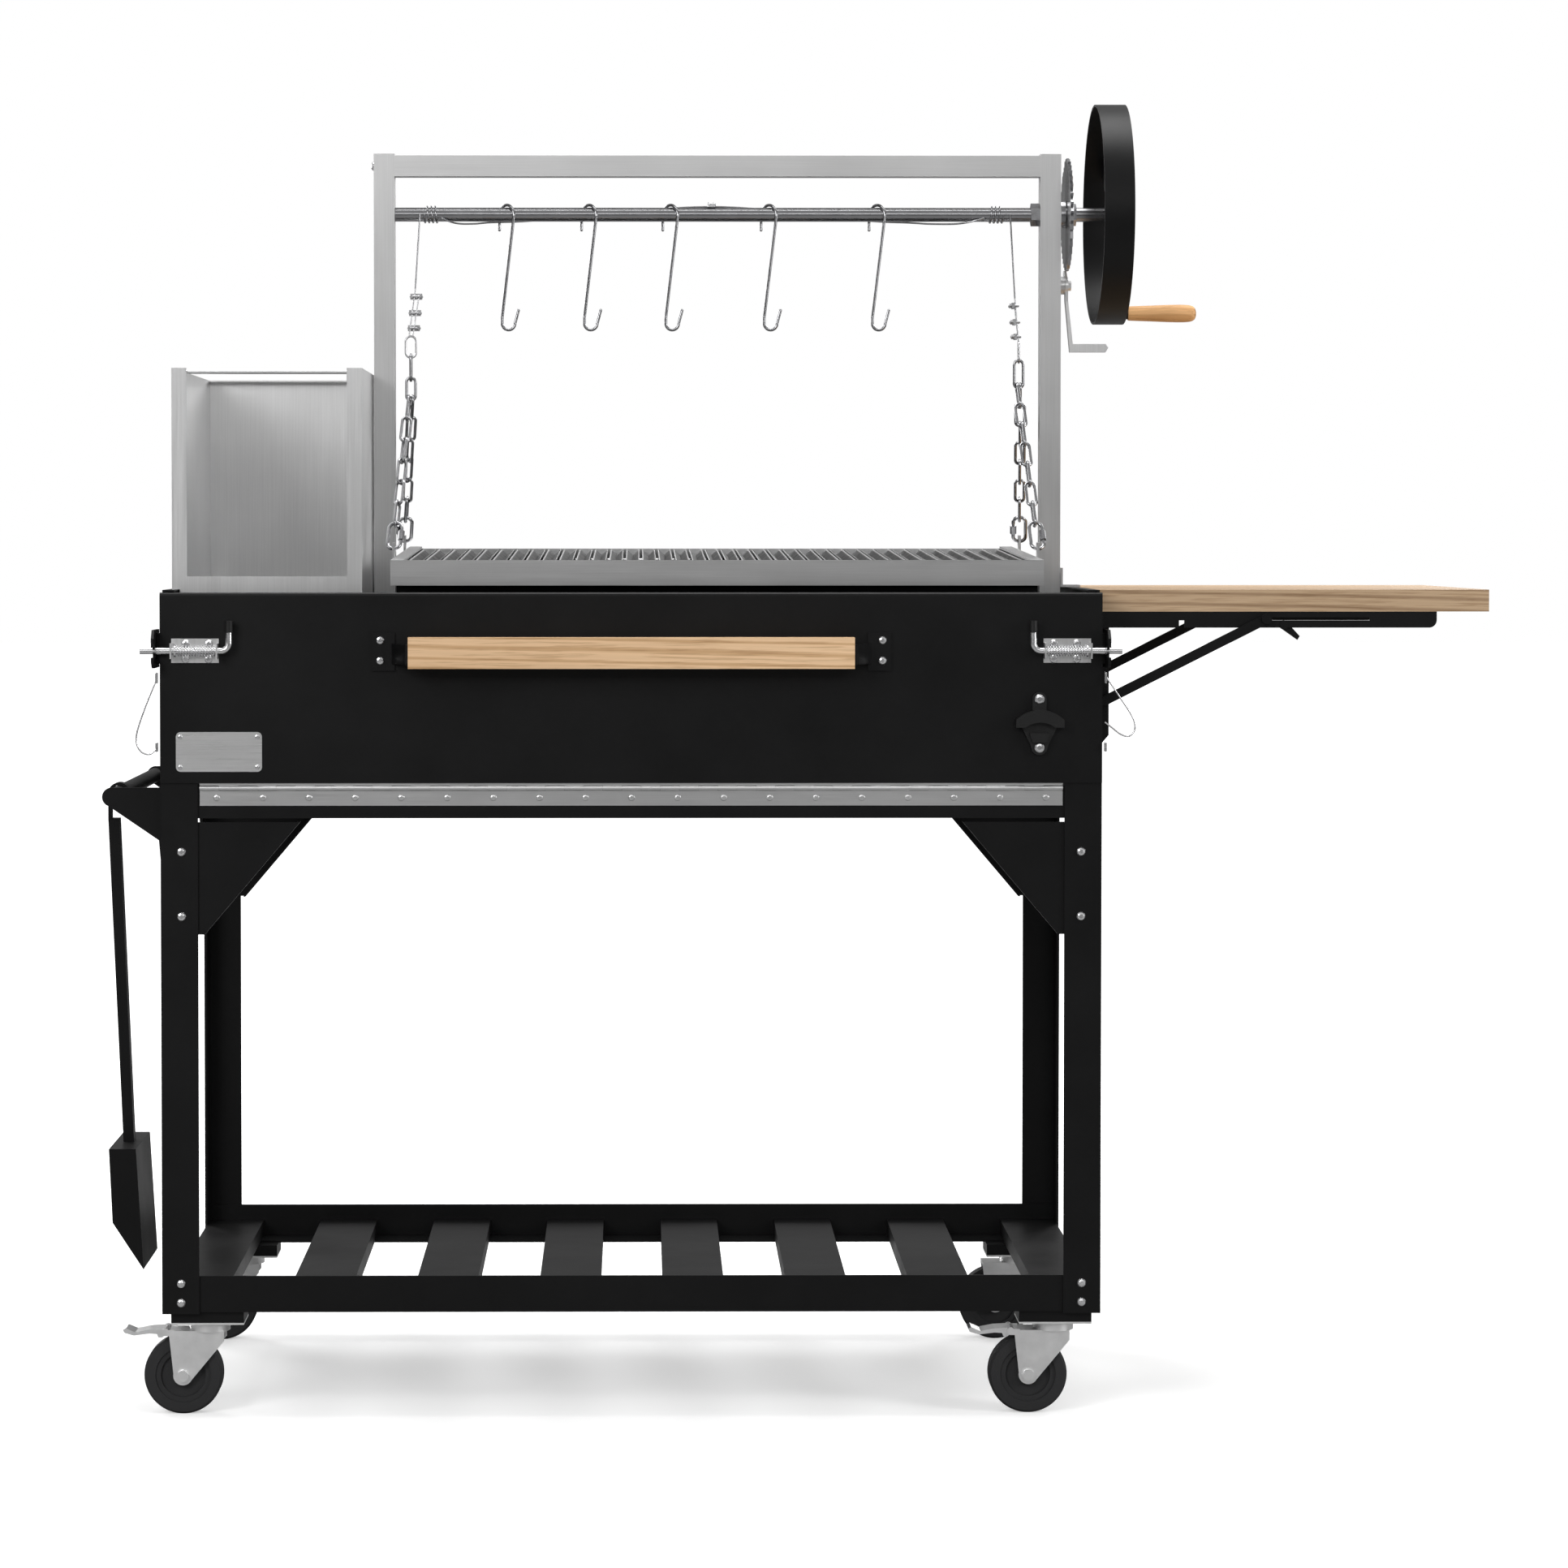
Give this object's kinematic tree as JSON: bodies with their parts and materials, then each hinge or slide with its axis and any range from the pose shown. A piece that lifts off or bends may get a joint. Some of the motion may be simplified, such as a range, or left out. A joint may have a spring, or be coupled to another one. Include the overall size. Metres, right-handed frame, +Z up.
{
  "type": "charcoal grill cart",
  "caption": "Wheeled wood and charcoal grill with a crank-raised grate, fire basket hood, drop-down front door and folding side table.",
  "frame": {"origin": "centre of the whole object's plan, on the floor", "axes": "+X towards the side table, +Y towards the back, +Z up; the door faces -Y"},
  "size_m": [1.8022, 0.6796, 1.721],
  "materials": {
    "ash_wood": "clear matt oiled ash",
    "black_coat": "satin black powder coat",
    "grate_steel": "dark steel with worn bright edges",
    "stainless": "brushed stainless steel",
    "tread": "matt black",
    "zinc": "bright zinc plate"
  },
  "bodies": {
    "cart": {"legs": "black_coat", "shelf_rails": "black_coat", "shelf_slats": "black_coat", "apron_rails": "black_coat", "gusset_plates": "black_coat", "frame_bolts": "zinc", "caster_plates": "zinc", "firebox_shell": "black_coat", "charcoal_grate": "grate_steel", "fire_basket_hood": "stainless", "frame_hinge_leaf": "stainless", "latch_keepers": "black_coat", "door_stays": "zinc", "lift_frame": "stainless", "shaft_bearings": "zinc", "table_brackets": "black_coat", "side_handle": "black_coat"},
    "door": {"front_door": "black_coat", "door_hinge_leaf": "stainless", "door_handle_grip": "ash_wood", "door_handle_brackets": "black_coat", "door_fasteners": "zinc", "nameplate": "stainless", "bottle_opener": "black_coat", "latch_brackets": "stainless"},
    "latch_left": {"latch_bolt_left": "zinc", "latch_spring_left": "zinc"},
    "latch_right": {"latch_bolt_right": "zinc", "latch_spring_right": "zinc"},
    "shaft": {"lift_shaft": "zinc", "ratchet_gear": "stainless", "handwheel": "black_coat", "cable_wraps": "zinc"},
    "crank_grip": {"crank_grip": "ash_wood"},
    "pawl": {"pawl_lever": "stainless"},
    "grate": {"cable_drops": "zinc", "cable_ends": "zinc", "hoist_chains": "zinc", "grate_frame": "stainless", "grate_bars": "grate_steel"},
    "table": {"table_top": "ash_wood", "table_arms": "black_coat"},
    "struts": {"table_struts": "black_coat"},
    "release": {"release_lever": "black_coat"},
    "shovel": {"coal_shovel": "black_coat"},
    "hook_1": {"meat_hook_1": "zinc"},
    "hook_2": {"meat_hook_2": "zinc"},
    "hook_3": {"meat_hook_3": "zinc"},
    "hook_4": {"meat_hook_4": "zinc"},
    "hook_5": {"meat_hook_5": "zinc"},
    "swivel_fl": {"caster_fork_fl": "zinc"},
    "wheel_fl": {"caster_wheel_fl": "tread"},
    "swivel_fr": {"caster_fork_fr": "zinc"},
    "wheel_fr": {"caster_wheel_fr": "tread"},
    "swivel_rl": {"caster_fork_rl": "zinc"},
    "wheel_rl": {"caster_wheel_rl": "tread"},
    "swivel_rr": {"caster_fork_rr": "zinc"},
    "wheel_rr": {"caster_wheel_rr": "tread"},
    "brake_fl": {"caster_brake_fl": "zinc"},
    "brake_fr": {"caster_brake_fr": "zinc"}
  },
  "joints": [
    {"name": "door_hinge", "type": "hinge", "parent": "cart", "child": "door", "pos_m": [-0.2149, -0.2883, 0.815], "axis": [1, 0, 0], "range_deg": [0, 90]},
    {"name": "latch_left_slide", "type": "slide", "parent": "door", "child": "latch_left", "axis": [1, 0, 0], "range_m": [0, 0.024], "stiffness_N_per_m": 120, "springref_m": -0.01, "deforming": ["latch_spring_left"]},
    {"name": "latch_right_slide", "type": "slide", "parent": "door", "child": "latch_right", "axis": [-1, 0, 0], "range_m": [0, 0.024], "stiffness_N_per_m": 120, "springref_m": -0.01, "deforming": ["latch_spring_right"]},
    {"name": "grate_lift", "type": "slide", "parent": "cart", "child": "grate", "axis": [0, 0, 1], "range_m": [-0.15, 0.085], "deforming": ["cable_drops"]},
    {"name": "shaft_spin", "type": "hinge", "parent": "cart", "child": "shaft", "pos_m": [-0.2149, 0.0242, 1.573], "axis": [-1, 0, 0], "range_deg": [-860, 500]},
    {"name": "crank_grip_spin", "type": "hinge", "parent": "shaft", "child": "crank_grip", "pos_m": [0.4851, 0.0242, 1.44], "axis": [1, 0, 0], "continuous": true},
    {"name": "pawl_pivot", "type": "hinge", "parent": "cart", "child": "pawl", "pos_m": [0.3731, 0.0242, 1.4775], "axis": [1, 0, 0], "range_deg": [-20, 0], "stiffness_Nm_per_rad": 0.2, "springref_deg": 17.19},
    {"name": "table_fold", "type": "hinge", "parent": "cart", "child": "table", "pos_m": [0.4001, 0.0242, 1.026], "axis": [0, 1, 0], "range_deg": [0, 90]},
    {"name": "strut_fold", "type": "hinge", "parent": "cart", "child": "struts", "pos_m": [0.4001, 0.0242, 0.925], "axis": [0, 1, 0], "range_deg": [0, 118]},
    {"name": "release_pivot", "type": "hinge", "parent": "table", "child": "release", "pos_m": [0.6343, -0.2208, 1.0236], "axis": [0, 1, 0], "range_deg": [0, 12], "stiffness_Nm_per_rad": 0.1, "springref_deg": -17.19},
    {"name": "shovel_swing", "type": "hinge", "parent": "cart", "child": "shovel", "pos_m": [-0.8869, -0.1658, 0.802], "axis": [0, 1, 0], "range_deg": [-2, 25]},
    {"name": "hook_1_swing", "type": "hinge", "parent": "cart", "child": "hook_1", "pos_m": [-0.3803, 0.0242, 1.573], "axis": [1, 0, 0], "range_deg": [-40, 40]},
    {"name": "hook_2_swing", "type": "hinge", "parent": "cart", "child": "hook_2", "pos_m": [-0.2692, 0.0242, 1.573], "axis": [1, 0, 0], "range_deg": [-40, 40]},
    {"name": "hook_3_swing", "type": "hinge", "parent": "cart", "child": "hook_3", "pos_m": [-0.1592, 0.0242, 1.573], "axis": [1, 0, 0], "range_deg": [-40, 40]},
    {"name": "hook_4_swing", "type": "hinge", "parent": "cart", "child": "hook_4", "pos_m": [-0.0261, 0.0242, 1.573], "axis": [1, 0, 0], "range_deg": [-40, 40]},
    {"name": "hook_5_swing", "type": "hinge", "parent": "cart", "child": "hook_5", "pos_m": [0.1202, 0.0242, 1.573], "axis": [1, 0, 0], "range_deg": [-40, 40]},
    {"name": "swivel_fl_turn", "type": "hinge", "parent": "cart", "child": "swivel_fl", "pos_m": [-0.7634, -0.2438, 0.11], "axis": [0, 0, 1], "continuous": true},
    {"name": "wheel_fl_roll", "type": "hinge", "parent": "swivel_fl", "child": "wheel_fl", "pos_m": [-0.7969, -0.2438, 0.0508], "axis": [0, 1, 0], "continuous": true},
    {"name": "swivel_fr_turn", "type": "hinge", "parent": "cart", "child": "swivel_fr", "pos_m": [0.3336, -0.2438, 0.11], "axis": [0, 0, 1], "continuous": true},
    {"name": "wheel_fr_roll", "type": "hinge", "parent": "swivel_fr", "child": "wheel_fr", "pos_m": [0.3001, -0.2438, 0.0508], "axis": [0, 1, 0], "continuous": true},
    {"name": "swivel_rl_turn", "type": "hinge", "parent": "cart", "child": "swivel_rl", "pos_m": [-0.7634, 0.2922, 0.11], "axis": [0, 0, 1], "continuous": true},
    {"name": "wheel_rl_roll", "type": "hinge", "parent": "swivel_rl", "child": "wheel_rl", "pos_m": [-0.7969, 0.2922, 0.0508], "axis": [0, 1, 0], "continuous": true},
    {"name": "swivel_rr_turn", "type": "hinge", "parent": "cart", "child": "swivel_rr", "pos_m": [0.3336, 0.2922, 0.11], "axis": [0, 0, 1], "continuous": true},
    {"name": "wheel_rr_roll", "type": "hinge", "parent": "swivel_rr", "child": "wheel_rr", "pos_m": [0.3001, 0.2922, 0.0508], "axis": [0, 1, 0], "continuous": true},
    {"name": "brake_fl_press", "type": "hinge", "parent": "swivel_fl", "child": "brake_fl", "pos_m": [-0.8199, -0.2438, 0.1075], "axis": [0, -1, 0], "range_deg": [0, 9], "stiffness_Nm_per_rad": 1, "springref_deg": -5.73},
    {"name": "brake_fr_press", "type": "hinge", "parent": "swivel_fr", "child": "brake_fr", "pos_m": [0.2771, -0.2438, 0.1075], "axis": [0, -1, 0], "range_deg": [0, 9], "stiffness_Nm_per_rad": 1, "springref_deg": -5.73}
  ],
  "couplings": [
    {"joint": "shaft_spin", "follows": "grate_lift", "rad_per_m": 95.24},
    {"joint": "strut_fold", "follows": "table_fold", "ratio": 1.298}
  ]
}
